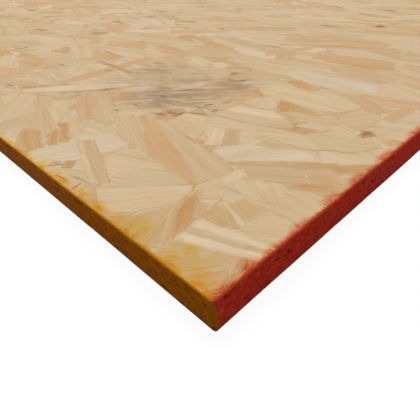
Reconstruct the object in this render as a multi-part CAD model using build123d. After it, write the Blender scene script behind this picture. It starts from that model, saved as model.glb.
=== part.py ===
from build123d import *
import os

# One sheet of oriented strand board: wood strands pressed and bonded into a single board, sawn on four sides.
# The origin is at the centre of the underside, +X runs along the sheet's length and its face strands, +Z is up.
# Sizes are in millimetres.

# The sheet as it is sold
SHEET_LENGTH = 2440.0
SHEET_WIDTH = 1220.0
SHEET_THICKNESS = 18.0

# The sawn edges, as handling leaves them
CORNER_RADIUS = 2.0  # plan radius of the four blunted upright corners
ARRIS_RADIUS = 0.6  # section radius where the sawn edges meet the two faces


def sheet_outline():
    """The plan of the sheet, with its four blunted corners."""
    return RectangleRounded(SHEET_LENGTH, SHEET_WIDTH, CORNER_RADIUS)


def face_arrises(board):
    """The edges that run round the underside and round the top face."""
    underside, top_face = board.faces().filter_by(Axis.Z).sort_by(Axis.Z)
    return underside.edges() + top_face.edges()


def osb_panel():
    """The pressed board, with its arrises eased all round both faces."""
    board = extrude(sheet_outline(), amount=SHEET_THICKNESS)
    return fillet(face_arrises(board), radius=ARRIS_RADIUS)


def write_parts(nodes, folder="parts"):
    """Writes each node to its own STEP file."""
    os.makedirs(folder, exist_ok=True)
    for name, solid in nodes.items():
        solid.label = name
        export_step(solid, os.path.join(folder, name + ".step"))
        print(name, "volume in litres:", round(solid.volume / 1e6, 3))


write_parts({"osb_panel": osb_panel()})
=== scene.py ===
# %% [markdown]
# # A sheet of oriented strand board
# The real sheet is thousands of thin wood strands, glued and pressed flat, then sawn on four sides and
# sprayed along its edges: yellow on the long edges and red on the ends. A flat box with a picture of
# strands would look right from one place only, so here the strands are real thin pieces laid over each
# other, and the four sawn edges have real relief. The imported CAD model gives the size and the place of
# everything.

# %% Load the frame
import math
import bmesh
import bpy
import numpy as np
from mathutils import Matrix, Vector
from mathutils.geometry import delaunay_2d_cdt


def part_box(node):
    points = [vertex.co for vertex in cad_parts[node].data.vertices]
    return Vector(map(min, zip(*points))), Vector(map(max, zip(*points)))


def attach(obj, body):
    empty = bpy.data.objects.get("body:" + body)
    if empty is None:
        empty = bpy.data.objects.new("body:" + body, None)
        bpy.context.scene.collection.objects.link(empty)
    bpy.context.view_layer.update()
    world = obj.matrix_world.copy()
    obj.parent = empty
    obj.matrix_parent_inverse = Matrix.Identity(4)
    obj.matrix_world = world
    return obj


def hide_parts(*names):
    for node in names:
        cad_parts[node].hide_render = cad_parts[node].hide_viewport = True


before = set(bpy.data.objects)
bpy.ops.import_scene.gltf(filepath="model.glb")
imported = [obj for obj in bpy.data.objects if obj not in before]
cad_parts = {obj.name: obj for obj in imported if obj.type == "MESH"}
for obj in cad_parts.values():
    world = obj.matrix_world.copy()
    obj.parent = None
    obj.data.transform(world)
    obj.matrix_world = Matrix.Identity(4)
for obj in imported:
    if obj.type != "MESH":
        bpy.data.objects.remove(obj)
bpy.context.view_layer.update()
HALF_LENGTH, HALF_WIDTH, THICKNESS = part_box("osb_panel")[1]
MM = 0.001
print("sheet in metres:", 2 * HALF_LENGTH, 2 * HALF_WIDTH, THICKNESS)

# %% [markdown]
# ## Small helpers
# An operator acts on whatever is selected, so each helper starts from nothing selected and one active
# object. Faces and vertices are picked by where they are, which still works when a size changes.

# %% Selecting and editing
def only(*objects):
    """Leaves these objects alone selected and the first one active, in object mode."""
    if bpy.context.object and bpy.context.object.mode != "OBJECT":
        bpy.ops.object.mode_set(mode="OBJECT")
    bpy.ops.object.select_all(action="DESELECT")
    for obj in objects:
        obj.select_set(True)
    bpy.context.view_layer.objects.active = objects[0]


def edit_all(obj):
    """Opens the object in edit mode with every face selected."""
    only(obj)
    bpy.ops.object.mode_set(mode="EDIT")
    bpy.ops.mesh.select_mode(type="FACE")
    bpy.ops.mesh.select_all(action="SELECT")


def pick_edges(obj, wanted):
    """Opens the object in edit mode with those edges selected whose two ends the function says yes to."""
    edit_all(obj)
    bpy.ops.mesh.select_mode(type="EDGE")
    bpy.ops.mesh.select_all(action="DESELECT")
    bpy.ops.object.mode_set(mode="OBJECT")
    points = obj.data.vertices
    for line in obj.data.edges:
        line.select = wanted(*(points[i].co for i in line.vertices))
    bpy.ops.object.mode_set(mode="EDIT")


def thicken(obj, depth):
    """Extrudes the whole mesh downwards and leaves it closed, in triangles that face outwards."""
    edit_all(obj)
    bpy.ops.mesh.extrude_region_move(TRANSFORM_OT_translate={"value": (0, 0, -depth)})
    bpy.ops.mesh.select_all(action="SELECT")
    bpy.ops.mesh.normals_make_consistent(inside=False)
    bpy.ops.mesh.quads_convert_to_tris(ngon_method="BEAUTY")
    bpy.ops.object.mode_set(mode="OBJECT")


def apply_place(obj):
    """Puts the object's place and size into its mesh."""
    only(obj)
    bpy.ops.object.transform_apply(location=True, rotation=True, scale=True)


def add_to_scene(name, data):
    """A new object with this data, in the scene."""
    made = bpy.data.objects.new(name, data)
    bpy.context.scene.collection.objects.link(made)
    return made


def read(rows, label, columns, kind=float):
    """One property of every vertex, corner or attribute row of a mesh, as an array."""
    flat = np.empty(columns * len(rows), kind)
    rows.foreach_get(label, flat)
    return flat.reshape(-1, columns) if columns > 1 else flat


def positions(mesh):
    """The mesh's vertices as rows of an array."""
    return read(mesh.vertices, "co", 3)


def say_triangles(piece):
    """Prints the piece's name and how many triangles it has."""
    print(piece.name, "triangles", sum(len(p.vertices) - 2 for p in piece.data.polygons))


GRID_CELLS = 256


def smooth_noise(x, y, cell_x, cell_y, seed):
    """Smooth random values from 0 to 1 over the plane, one new value every cell."""
    grid = np.random.default_rng(seed).random((GRID_CELLS + 1, GRID_CELLS + 1))
    u, v = np.asarray(x) / cell_x, np.asarray(y) / cell_y
    i, j = np.floor(u).astype(int), np.floor(v).astype(int)
    s, t = u - i, v - j
    s, t = s * s * (3 - 2 * s), t * t * (3 - 2 * t)
    i, j, right, above = i % GRID_CELLS, j % GRID_CELLS, (i + 1) % GRID_CELLS, (j + 1) % GRID_CELLS
    lower = grid[i, j] * (1 - s) + grid[right, j] * s
    upper = grid[i, above] * (1 - s) + grid[right, above] * s
    return lower * (1 - t) + upper * t


# %% [markdown]
# ## The camera
# The photograph looks down on one corner from about 15 cm away. The angles and the place were worked out
# from the edge lines that meet there, in real millimetres, so the same corner falls in the same place here.

# %% The camera
CORNER = Vector((HALF_LENGTH, -HALF_WIDTH, 0))
CAMERA_FROM_CORNER = Vector((64.7, -54.6, 122.5)) * MM
CAMERA_HEADING = math.radians(48.65)
CAMERA_DOWN = math.radians(36.93)
CAMERA_ROLL = math.radians(-4.75)
CAMERA_LENS_MM = 31.91
SENSOR_WIDTH_MM = 36
NEAREST_SEEN = 10 * MM

camera_data = bpy.data.cameras.new("camera")
camera_data.lens = CAMERA_LENS_MM
camera_data.sensor_width = SENSOR_WIDTH_MM
camera_data.clip_start = NEAREST_SEEN
camera = add_to_scene("camera", camera_data)
turn = Matrix.Rotation(CAMERA_HEADING, 4, "Z")
turn @= Matrix.Rotation(math.pi / 2 - CAMERA_DOWN, 4, "X")
turn @= Matrix.Rotation(CAMERA_ROLL, 4, "Z")
camera.matrix_world = Matrix.Translation(CORNER + CAMERA_FROM_CORNER) @ turn
bpy.context.scene.camera = camera
print("camera at", [round(v, 4) for v in camera.matrix_world.translation])

# %% [markdown]
# ## Shader nodes as sums
# A material is a tree of nodes. To keep it readable, each node's output is wrapped as a value that knows
# its tree. A plain sum on such a value adds a Math node, and a function such as noise adds the node it is
# named after, in the tree of the value it is given.

# %% Values and the nodes that make them
class Value:
    """The output of a shader node. Sums on it add Math nodes to the same tree."""

    def __init__(self, socket):
        self.socket = socket
        self.tree = socket.id_data

    def __add__(self, other):
        return math_value("ADD", self, other)

    def __mul__(self, other):
        return math_value("MULTIPLY", self, other)

    def __sub__(self, other):
        return math_value("SUBTRACT", self, other)

    def __rsub__(self, other):
        return math_value("SUBTRACT", other, self)

    def __truediv__(self, other):
        return math_value("DIVIDE", self, other)

    def __pow__(self, other):
        return math_value("POWER", self, other)

    def __rpow__(self, other):
        return math_value("POWER", other, self)

    def __abs__(self):
        return math_value("ABSOLUTE", self, 0)


def node(tree, kind, inputs=(), **settings):
    """Adds a shader node. An input that is a Value is linked, and any other input is set."""
    made = tree.nodes.new("ShaderNode" + kind)
    for name, setting in settings.items():
        setattr(made, name, setting)
    for key, given in dict(inputs).items():
        if isinstance(given, Value):
            tree.links.new(given.socket, made.inputs[key])
        else:
            made.inputs[key].default_value = given
    return made


def value(kind, inputs, output=0, **settings):
    """One output of a new node, in the tree of the first of its inputs that is a Value."""
    tree = next(given.tree for given in inputs.values() if isinstance(given, Value))
    return Value(node(tree, kind, inputs, **settings).outputs[output])


def values(made):
    """All outputs of a node as values, by name."""
    return {output.name: Value(output) for output in made.outputs}


def math_value(operation, a, b):
    """One Math node's result."""
    return value("Math", {0: a, 1: b}, operation=operation)


def lowest(a, b):
    """The lower of two values."""
    return math_value("MINIMUM", a, b)


def highest(masks):
    """The highest of several values."""
    result, *others = masks
    for mask in others:
        result = math_value("MAXIMUM", result, mask)
    return result


def stretch(given, from_low, from_high, to_low=0.0, to_high=1.0):
    """A value moved smoothly from one range to another."""
    inputs = {0: given, 1: from_low, 2: from_high, 3: to_low, 4: to_high}
    return value("MapRange", inputs, interpolation_type="SMOOTHSTEP")


def blend(factor, a, b, how="MIX"):
    """Two colours mixed."""
    return value("Mix", {0: factor, 6: a, 7: b}, 2, data_type="RGBA", blend_type=how)


def tinted(a, b):
    """Two colours multiplied."""
    return blend(1.0, a, b, "MULTIPLY")


def grey(given):
    """A value as a colour with three equal parts."""
    return value("CombineColor", {i: given for i in range(3)})


def scaled(vector, x, y, z=1.0):
    """A vector with each of its parts multiplied."""
    return value("VectorMath", {0: vector, 1: (x, y, z)}, operation="MULTIPLY")


def parts(vector, kind="XYZ"):
    """The three parts of a vector or a colour."""
    return list(values(node(vector.tree, "Separate" + kind, {0: vector})).values())


def noise(vector, scale=1.0, detail=2.0, rough=0.5):
    """Noise from 0 to 1 at this vector."""
    inputs = {"Vector": vector, "Scale": scale, "Detail": detail, "Roughness": rough}
    return value("TexNoise", inputs, noise_dimensions="3D")


def object_place(tree):
    """Where the point lies, in the object's coordinates."""
    return Value(node(tree, "TexCoord").outputs["Object"])


def attribute(tree, name):
    """What the mesh says of the point under this name."""
    return values(node(tree, "Attribute", attribute_name=name, attribute_type="GEOMETRY"))


def new_group(name, inputs, outputs):
    """An empty shader group with these sockets, its inputs as values, and its output node."""
    tree = bpy.data.node_groups.new(name, "ShaderNodeTree")
    for way, sockets in (("INPUT", inputs), ("OUTPUT", outputs)):
        for label, kind in sockets.items():
            tree.interface.new_socket(label, in_out=way, socket_type="NodeSocket" + kind)
    return tree, values(tree.nodes.new("NodeGroupInput")), tree.nodes.new("NodeGroupOutput")


def put_out(leave, **results):
    """Links each value to the group's output of that name."""
    for label, result in results.items():
        result.tree.links.new(result.socket, leave.inputs[label])


def use_group(tree, group, along=None):
    """Places a group in a tree and returns its outputs."""
    made = tree.nodes.new("ShaderNodeGroup")
    made.node_tree = group
    if along is not None:
        tree.links.new(along.socket, made.inputs["Along"])
    return values(made)


def new_material(name, roughness, specular):
    """A material with nodes, its tree and its Principled shader."""
    made = bpy.data.materials.new(name)
    made.use_nodes = True
    shader = made.node_tree.nodes["Principled BSDF"]
    shader.inputs["Roughness"].default_value = roughness
    shader.inputs["Specular IOR Level"].default_value = specular
    return made, made.node_tree, shader


def finish_surface(shader, colour, height, bump_mm, roughness=None):
    """Links the colour, a bump of this height, and a roughness that varies."""
    bump = value("Bump", {"Height": height, "Distance": bump_mm * MM, "Strength": 1.0})
    for given, label in ((colour, "Base Color"), (bump, "Normal"), (roughness, "Roughness")):
        if given:
            given.tree.links.new(given.socket, shader.inputs[label])


# %% [markdown]
# ## Light and floor
# A soft lamp high up and behind the corner lights the top face fully and leaves the two near edges in
# shade, as in the photograph. The sky fills in evenly. Together they light a level surface so that a colour
# comes out as it is written. The floor is white to the camera and grey to other rays, so it throws little
# light back.

# %% Lamp, sky and floor
SKY_LEVEL = 0.34
SUN_HEIGHT = math.radians(62)
SUN_SOFTNESS = math.radians(40)
FLOOR_SIZE = 16
FLOOR_BELOW = 0.3 * MM
FLOOR_GREY = (0.22, 0.22, 0.22, 1)
FLOOR_SEEN = (0.09, 0.09, 0.09, 1)
FLOOR_GLOW = 0.93

sun_data = bpy.data.lights.new("softbox", "SUN")
sun_data.angle = SUN_SOFTNESS
sun_data.energy = math.pi * (1 - SKY_LEVEL) / math.sin(SUN_HEIGHT)
sun = add_to_scene("softbox", sun_data)
sun.rotation_euler = (-(math.pi / 2 - SUN_HEIGHT), 0, CAMERA_HEADING)


def background_seen(tree):
    """One where the camera, a mirror or glass looks at the background, and nought for other light."""
    path = values(node(tree, "LightPath"))
    return highest([path[f"Is {kind} Ray"] for kind in ("Camera", "Glossy", "Transmission")])


world = bpy.data.worlds.new("sky")
bpy.context.scene.world = world
world.use_nodes = True
sky = world.node_tree
level = stretch(background_seen(sky), 0, 1, SKY_LEVEL, 1.0)
sky.links.new(level.socket, sky.nodes["Background"].inputs["Strength"])
sky.nodes["Background"].inputs["Color"].default_value = (1, 1, 1, 1)

only(sun)
bpy.ops.mesh.primitive_plane_add(size=FLOOR_SIZE, location=(0, 0, -FLOOR_BELOW))
floor = bpy.context.object
floor.name = "floor"
apply_place(floor)
paper = bpy.data.materials.new("white_floor")
paper.use_nodes = True
tree = paper.node_tree
tree.nodes.clear()
seen = background_seen(tree)
shade = value("BsdfDiffuse", {"Color": blend(seen, FLOOR_GREY, FLOOR_SEEN)})
glow = value("Emission", {"Strength": seen * FLOOR_GLOW})
node(tree, "OutputMaterial", {"Surface": value("AddShader", {0: shade, 1: glow})})
floor.data.materials.append(paper)
bpy.context.scene.view_settings.view_transform = "Standard"

# %% [markdown]
# ## The figure of the wood
# Every strand is a slice of a log, so its lines run along its own length whichever way it lies. Each strand
# therefore carries a map in metres, along and across its grain. One node group turns that map into fibres,
# fine lines, warm and cool bands a few millimetres wide, and short dark flecks. Every wooden surface uses
# it.

# %% A group for wood figure
FIBRES = (60, 2400)
LINES = (22, 850)
BANDS = (8, 230)
BROAD_BANDS = (6, 62)
FLECKS = (110, 1400)
WANDER = (22, 70)
WANDER_WIDTH = 7 * MM
PORES = 900
WARM_BAND = (0.978, 0.935, 0.875, 1)
COOL_BAND = (1.018, 1.028, 1.05, 1)

wood_figure, entry, leave = new_group(
    "wood_figure", {"Along": "Vector"}, {"Figure": "Color", "Bands": "Float", "Height": "Float"}
)
place = entry["Along"]
wander = noise(scaled(place, *WANDER), detail=1)
shift = value("CombineXYZ", {1: wander * WANDER_WIDTH - WANDER_WIDTH / 2})
bent = value("VectorMath", {0: place, 1: shift}, operation="ADD")
fibres = stretch(noise(scaled(bent, *FIBRES), rough=0.6), 0.30, 0.70)
lines = stretch(noise(scaled(bent, *LINES), rough=0.55), 0.30, 0.70)
bands = stretch(noise(scaled(bent, *BANDS)), 0.32, 0.68)
flecks = stretch(noise(scaled(place, *FLECKS), detail=1), 0.68, 0.80)
pores = stretch(noise(place, PORES, rough=0.6), 0.3, 0.7)
light = (lines * 0.07 + 0.965) * (fibres * 0.06 + 0.97) * (pores * 0.05 + 0.975) * (flecks * -0.25 + 1.0)
figure = tinted(blend(bands, WARM_BAND, COOL_BAND), grey(light))
height = bands * 0.4 + lines * 0.6
put_out(leave, Figure=figure, Bands=noise(scaled(bent, *BROAD_BANDS), detail=1), Height=height)

# %% [markdown]
# ## Paint that has drifted onto the faces
# The edges of a stack of sheets are sprayed together, and a little paint creeps onto the face of each
# sheet. It reaches further along some strands than others and soaks in as a ragged fringe. This group
# measures how far a point is from each sawn edge, and gives the depth of the yellow paint and of the red.
# Round the photographed corner a few larger puffs are soft ovals, at places read from the photograph.

# %% Places near the photographed corner
def on_sheet(across, back):
    """A place given in mm from the photographed corner, across from the long edge and back from the end."""
    return HALF_LENGTH - back * MM, -HALF_WIDTH + across * MM


def oval(spot, across, back, half_long, half_short, turn, soft=0.15):
    """One at the middle of an oval on the face and nought outside it. turn is its long side's, in degrees."""
    inputs = {0: spot, 1: (*on_sheet(across, back), 0), 2: (0, 0, math.radians(turn + 90))}
    inputs[3] = (half_long * MM, half_short * MM, 1)
    turned = value("Mapping", inputs, vector_type="TEXTURE")
    reach = value("VectorMath", {0: scaled(turned, 1, 1, 0)}, "Value", operation="LENGTH")
    return stretch(reach, 1.0, soft)


# %% A group for the paint fringes
YELLOW_PUFFS = [
    (0, 9, 12, 8, 90), (0, 25, 12, 5.5, 90), (0, 55, 13, 9, 90), (0, 84, 11, 9.5, 90), (0, 103, 12, 9.5, 90),
    (0, 120, 11, 8, 90), (0, 131, 9, 9, 90), (0, 148, 12, 6.5, 90), (0, 168, 14, 6, 90), (0, 200, 20, 6, 90),
]
FAINT_PUFFS = [
    (7, 54, 14, 10, 80), (3, 66, 9, 8, 90), (12, 25, 8, 5, 60), (4, 12, 13, 10, 90), (5, 30, 9, 6, 90),
]
RED_PUFFS = [
    (6, 0, 12, 6, 0), (23, 0, 9, 9, 0), (36, 0, 9, 5.5, 0), (55, 0, 12, 6.5, 0), (80, 0, 12, 8, 0),
    (104, 0, 14, 7.5, 0), (135, 0, 18, 7.5, 0), (175, 0, 22, 6.5, 0), (225, 0, 26, 7, 0),
]
YELLOW_REACH = (0.9 * MM, 5.0 * MM)
RED_REACH = (2.0 * MM, 5.0 * MM)
SOAKED_FIBRES = (190, 1100)
BLOTS = 240
PATCHES = 48
HAZE = 26
HAZE_REACH = 14 * MM
FRAY = 1.3 * MM

FRINGE_OUTPUTS = {label: "Float" for label in ("Yellow", "Red", "FromLong", "FromEnd")}
fringes, entry, leave = new_group("paint_fringes", {"Along": "Vector"}, FRINGE_OUTPUTS)
spot = object_place(fringes)
x, y, _ = parts(spot)
from_end = HALF_LENGTH - abs(x)
from_long = HALF_WIDTH - abs(y)
fibres = stretch(noise(scaled(entry["Along"], *SOAKED_FIBRES), rough=0.6), 0.3, 0.7)
blots = stretch(noise(spot, BLOTS, 3, 0.62), 0.34, 0.66)
patches = noise(spot, PATCHES, rough=0.55)


def unevenness(by_fibre, by_blot, least):
    """How unevenly a paint has crept, by the fibres that it ran along and by the blots that it fell in."""
    return fibres * by_fibre + (blots * by_blot + least)


def creep(distance, reach, puffs, uneven, strength, most, at_edge):
    """The depth of the paint that has crept this far in: thick at the edge, then thinner and uneven."""
    fringe = stretch(distance / stretch(patches, 0.36, 0.66, *reach), 1.0, 0.0)
    thin = highest([fringe] + [oval(spot, *puff) for puff in puffs]) ** 1.4 * (uneven * strength)
    rim = stretch(uneven * -FRAY + distance, 1.6 * MM, -0.5 * MM) * at_edge
    return highest([lowest(thin, most), rim])


haze = stretch(noise(spot, HAZE), 0.50, 0.74) * stretch(from_long, HAZE_REACH, 2 * MM)
faint = highest([haze] + [oval(spot, *puff) for puff in FAINT_PUFFS])
blotted, spiky = unevenness(0.45, 0.90, 0.02), unevenness(0.80, 0.26, 0.13)
faint = faint * (blotted * 0.50 + 0.27)
yellow = highest([creep(from_long, YELLOW_REACH, YELLOW_PUFFS, blotted, 2.4, 2.1, 2.3), faint])
red = creep(from_end, RED_REACH, RED_PUFFS, spiky, 2.9, 1.9, 2.9)
put_out(leave, Yellow=yellow, Red=red, FromLong=from_long, FromEnd=from_end)

# %% [markdown]
# ## The rubbed stain
# A few hand-widths in from the corner the top face is scuffed grey-brown, where something dirty has been
# dragged over it. The marks are streaked smudges and narrow dark scrapes in a faint film. Each is a soft
# oval, at a place read from the photograph. Drawn-out noise streaks them all, the film the most, and in
# patches a second noise crosses it.

# %% A group for the stain
STREAK_TURNS = (41, 8)
STREAKS = (24, 150, 0)
FINE_STREAKS = (50, 480, 0)
CROSSED_PATCHES = 34
SMUDGES = [
    (116, 182, 27, 7, -59, 0.9), (104, 196, 13, 7, -52, 0.6), (123, 154, 17, 3.2, -36, 0.9),
    (120, 139, 13, 3.6, -60, 1.0), (140, 126, 8, 3.2, -31, 0.6), (123, 123, 4.5, 4, -54, 0.6),
    (111, 129, 13, 2.8, -71, 0.8), (102, 139, 8, 3.2, -5, 0.8), (182, 150, 8.5, 5.5, -36, 1.0),
    (194, 170, 7, 5.5, -18, 0.8), (174, 136, 5.5, 3.8, -32, 0.7), (179, 226, 18, 6.5, -72, 0.5),
    (141, 150, 22, 8, -51, 0.7), (94, 180, 9, 1.4, -100, 1.0), (79, 184, 5.5, 2.4, -69, 0.7),
    (100, 232, 15, 6, -29, 0.6), (131, 280, 6, 6, -29, 0.5), (143, 246, 6, 6, -44, 0.6),
    (141, 301, 7, 4, -80, 0.5), (176, 255, 10, 6, -72, 0.5), (103, 166, 10, 3.6, -67, 0.7),
    (94, 151, 10, 3.4, -79, 0.8), (166, 178, 10, 5.5, -33, 0.5), (131, 168, 14, 5, -54, 0.6),
    (159, 246, 18, 8.3, -46, 0.6), (141, 215, 13, 5.4, -56, 0.5), (101, 145, 8, 4, -77, 0.7),
]
SCRAPES = [
    (116, 184, 18, 2.6, -61, 0.85), (120, 139, 9, 2.1, -60, 0.95), (113, 127, 9, 2.4, -71, 0.6),
    (180, 157, 12, 2.8, -69, 0.9), (172, 141, 9, 2.3, -55, 0.6), (132, 148, 24, 1.7, -54, 0.8),
    (128, 196, 20, 1.5, -50, 0.5), (150, 176, 22, 1.6, -47, 0.5), (147, 232, 18, 2.0, -49, 0.5),
]
FILM = [
    (150, 205, 100, 62, -45, 0.28), (124, 172, 64, 42, -48, 0.60), (165, 152, 50, 30, -38, 0.46),
    (156, 240, 40, 22, -48, 0.44),
]

stain, _, leave = new_group("rubbed_stain", {}, {"Mask": "Float"})
spot = object_place(stain)


def streaked(turn):
    """A noise drawn out into streaks at this angle in degrees, broad ones with fine ones in them."""
    turned = value("Mapping", {0: spot, 2: (0, 0, math.radians(turn))}, vector_type="TEXTURE")
    flat = scaled(turned, 1, 1, 0)
    streaks = stretch(noise(scaled(flat, *STREAKS), detail=3, rough=0.6), 0.40, 0.60)
    return streaks * 0.7 + stretch(noise(scaled(flat, *FINE_STREAKS), rough=0.6), 0.3, 0.7) * 0.3


crossed = stretch(noise(spot, CROSSED_PATCHES, 1), 0.46, 0.58)
main_way, cross_way = [streaked(turn) for turn in STREAK_TURNS]
streaky = highest([main_way, cross_way * crossed])
layers = []
for marks, soft, contrast, least in (
    (SMUDGES, 0.2, 0.76, 0.28), (SCRAPES, 0.2, 0.35, 0.58), (FILM, 0.3, 1.10, 0.10),
):
    marks = [oval(spot, *mark, soft) * strength for *mark, strength in marks]
    layers.append(highest(marks) * (streaky * contrast + least))
on_top = stretch(parts(spot)[2], 0.4 * THICKNESS, 0.6 * THICKNESS)
put_out(leave, Mask=highest(layers) * on_top)

# %% [markdown]
# ## The wood of the strands
# Each strand has its own tone, from cream sapwood to honey and rust heartwood, kept in a colour attribute.
# A second attribute says how strongly its late wood shows, which points are at its foot, and how crisp it
# is. A third says how far a point is from the strand's own outline. Pressed strands are so thin, and so
# soaked in resin, that one often fades into the next, so the tone is drawn towards the board's near the
# outline, more on some strands than on others. Parts of the outlines get a thin dark line, painted shade of
# the gap between strands, and the foot of each strand is darkened a little, also painted shade. The stain
# and the two paints come last. A paint lets through a share of each colour, and twice the depth lets through
# the share squared, so it goes by itself from a faint tint to a strong colour. Within about a millimetre of
# the edge the tone turns darker, partly thicker paint and partly painted shade of the rounded arris, and
# right at the edge it covers the wood.

# %% The strand material
LATE_WOOD = (0.54, 0.285, 0.11, 1)
RIM_SHADE = (0.30, 0.18, 0.10, 1)
BOARD_PALE = (0.615, 0.470, 0.295, 1)
BOARD_WARM = (0.575, 0.405, 0.225, 1)
SEAM_SHADE_COLOUR = (0.30, 0.17, 0.085, 1)
STAIN_COLOUR = (0.235, 0.132, 0.062, 1)
YELLOW_PASSES = (1.0, 0.79, 0.29)
RED_PASSES = (0.91, 0.50, 0.37)
# The arris tones are partly thicker paint and partly painted shade of the rounded arris.
YELLOW_ARRIS_PAINT_AND_SHADE = (0.37, 0.150, 0.006, 1)
RED_ARRIS_PAINT_AND_SHADE = (0.36, 0.055, 0.020, 1)
YELLOW_EDGE = (0.51, 0.145, 0.001, 1)
RED_EDGE = (0.70, 0.046, 0.019, 1)
FADE_FROM = 1.6 * MM
FADE_TO = -1.0 * MM
FADE_FRAY = 1.6 * MM


def outline_distance(tree):
    """The distance to the strand's own outline, from its place on the strand in lengths and in widths."""
    strand = attribute(tree, "strand")
    along, across, length = parts(strand["Color"], "Color")
    return lowest((0.5 - abs(along)) * length, (0.5 - abs(across)) * strand["Alpha"])


def soaked(colour, depth, passes):
    """The colour under a paint of this depth, where one unit of depth lets through these shares of it."""
    return tinted(colour, value("CombineColor", {i: share ** depth for i, share in enumerate(passes)}))


strand_wood, tree, shader = new_material("strand_wood", 0.6, 0.06)
along = Value(node(tree, "UVMap", uv_map="grain").outputs[0])
figure = use_group(tree, wood_figure, along)
paints = use_group(tree, fringes, along)
late_share, foot, crisp = parts(attribute(tree, "traits")["Color"], "Color")
spot = object_place(tree)

board = stretch(noise(scaled(spot, 26, 60, 0), detail=3, rough=0.55), 0.35, 0.65)
board = blend(board, BOARD_PALE, BOARD_WARM)
gap = outline_distance(tree)
fade = stretch(noise(spot, 420) * -FADE_FRAY + gap, FADE_FROM, FADE_TO) * (crisp * -0.75 + 0.80)
colour = blend(fade, attribute(tree, "tone")["Color"], board)
drift = stretch(noise(scaled(spot, 22, 60, 0)), 0.35, 0.7)
colour = blend(drift * 0.28, colour, board)
colour = blend(stretch(figure["Bands"], 0.50, 0.66) * late_share, colour, LATE_WOOD)
colour = tinted(colour, figure["Figure"])
# Painted shade: a thin dark line along parts of each outline, for the gap between strands.
seam_shade = stretch(noise(spot, 60), 0.60, 0.70) * stretch(gap, 0.45 * MM, 0.1 * MM)
colour = blend(seam_shade * 0.24, colour, SEAM_SHADE_COLOUR)
# Painted shade: the foot of each strand is darkened a little.
colour = blend(foot * 0.08, colour, RIM_SHADE)
colour = blend(use_group(tree, stain)["Mask"], colour, STAIN_COLOUR)
for label, passes in (("Yellow", YELLOW_PASSES), ("Red", RED_PASSES)):
    colour = soaked(colour, paints[label], passes)
# Near each edge a darker tone, partly thicker paint and partly painted shade of the rounded arris, then the
# edge paint itself.
for label, arris, edge in (("FromLong", YELLOW_ARRIS_PAINT_AND_SHADE, YELLOW_EDGE), ("FromEnd", RED_ARRIS_PAINT_AND_SHADE, RED_EDGE)):
    colour = blend(stretch(paints[label], 1.15 * MM, 0.35 * MM, 0.0, 0.75), colour, arris)
    colour = blend(stretch(paints[label], 0.32 * MM, 0.14 * MM), colour, edge)
height = figure["Height"]
finish_surface(shader, colour, height, 0.05, stretch(height, 0.2, 0.8, 0.8, 0.65))

# %% [markdown]
# ## The board's core
# Under the face strands lies the rest of the board. Only slivers of it show, down in the gaps, so it is one
# plain closed slab, a cube at its size and place. It keeps a little below the face, so that the strands
# above it have room to overlap, and it ends where the sawn edges begin.

# %% The core slab
CORNER_RADIUS = 2.0 * MM
FACE_DEPTH = 0.75 * MM
CORE_DARK = (0.50, 0.35, 0.20, 1)
CORE_PALE = (0.60, 0.46, 0.29, 1)


def block(name, centre, size):
    """A cube at this place and size, with the size put into its mesh."""
    bpy.ops.object.select_all(action="DESELECT")
    bpy.ops.mesh.primitive_cube_add(size=1, location=centre)
    made = bpy.context.object
    made.name = name
    made.scale = size
    apply_place(made)
    return made


core = block(
    "board_core",
    (0, 0, THICKNESS / 2),
    (2 * (HALF_LENGTH - CORNER_RADIUS), 2 * (HALF_WIDTH - CORNER_RADIUS), THICKNESS - 2 * FACE_DEPTH),
)
core_wood, tree, shader = new_material("core_wood", 0.75, 0.06)
spot = object_place(tree)
figure = use_group(tree, wood_figure, spot)
colour = blend(stretch(noise(scaled(spot, 14, 60)), 0.35, 0.65), CORE_DARK, CORE_PALE)
finish_surface(shader, tinted(colour, figure["Figure"]), figure["Height"], 0.1)
core.data.materials.append(core_wood)
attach(core, "root")
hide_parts("osb_panel")
say_triangles(core)

# %% [markdown]
# ## The sawn edges
# A saw cuts straight through the layers, so an edge shows thousands of strand ends, with small voids
# between them, all under thick paint. Each edge is a narrow bar as deep as the corner's radius. The long
# bars are cubes with their outer corners bevelled round and their arrises eased. The outer side is then cut
# into a fine grid, first along and then upwards, and each grid point is pressed in by how deep the board is
# there.

# %% Relief of a sawn edge
BAR_DEPTH = 0.65 * MM
ARRIS = 0.35 * MM
TINY = 0.005 * MM
ALONG_CUTS_LONG = 41
ALONG_CUTS_END = 28
UP_CUTS = 15
CORNER_STEPS = 6
LONG_RUNS = (9 * MM, 3.6 * MM, 0.75)
END_RUNS = (6 * MM, 3.0 * MM, 0.77)
NOISE_SHIFT = 7.0


def edge_depth(run, up, layer_run, void_run, rarity, seed):
    """How deep the sawn edge is at this distance along and height, and how much of a void it is."""
    layers = smooth_noise(run, up, layer_run, 1.5 * MM, seed)
    chips = smooth_noise(run, up, layer_run / 3, 0.9 * MM, seed + 1)
    crumbs = smooth_noise(run, up, 1.9 * MM, 1.1 * MM, seed + 2)
    voids = smooth_noise(run, up, void_run, 1.7 * MM, seed + 3) * 0.7
    voids += 0.3 * smooth_noise(run, up, void_run / 2, 1.1 * MM, seed + 4)
    hole = np.clip((voids - rarity) / 0.10, 0, 1)
    depth = (0.09 * layers + 0.09 * chips + 0.09 * crumbs + 0.6 * hole) * MM
    return depth, hole


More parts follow.
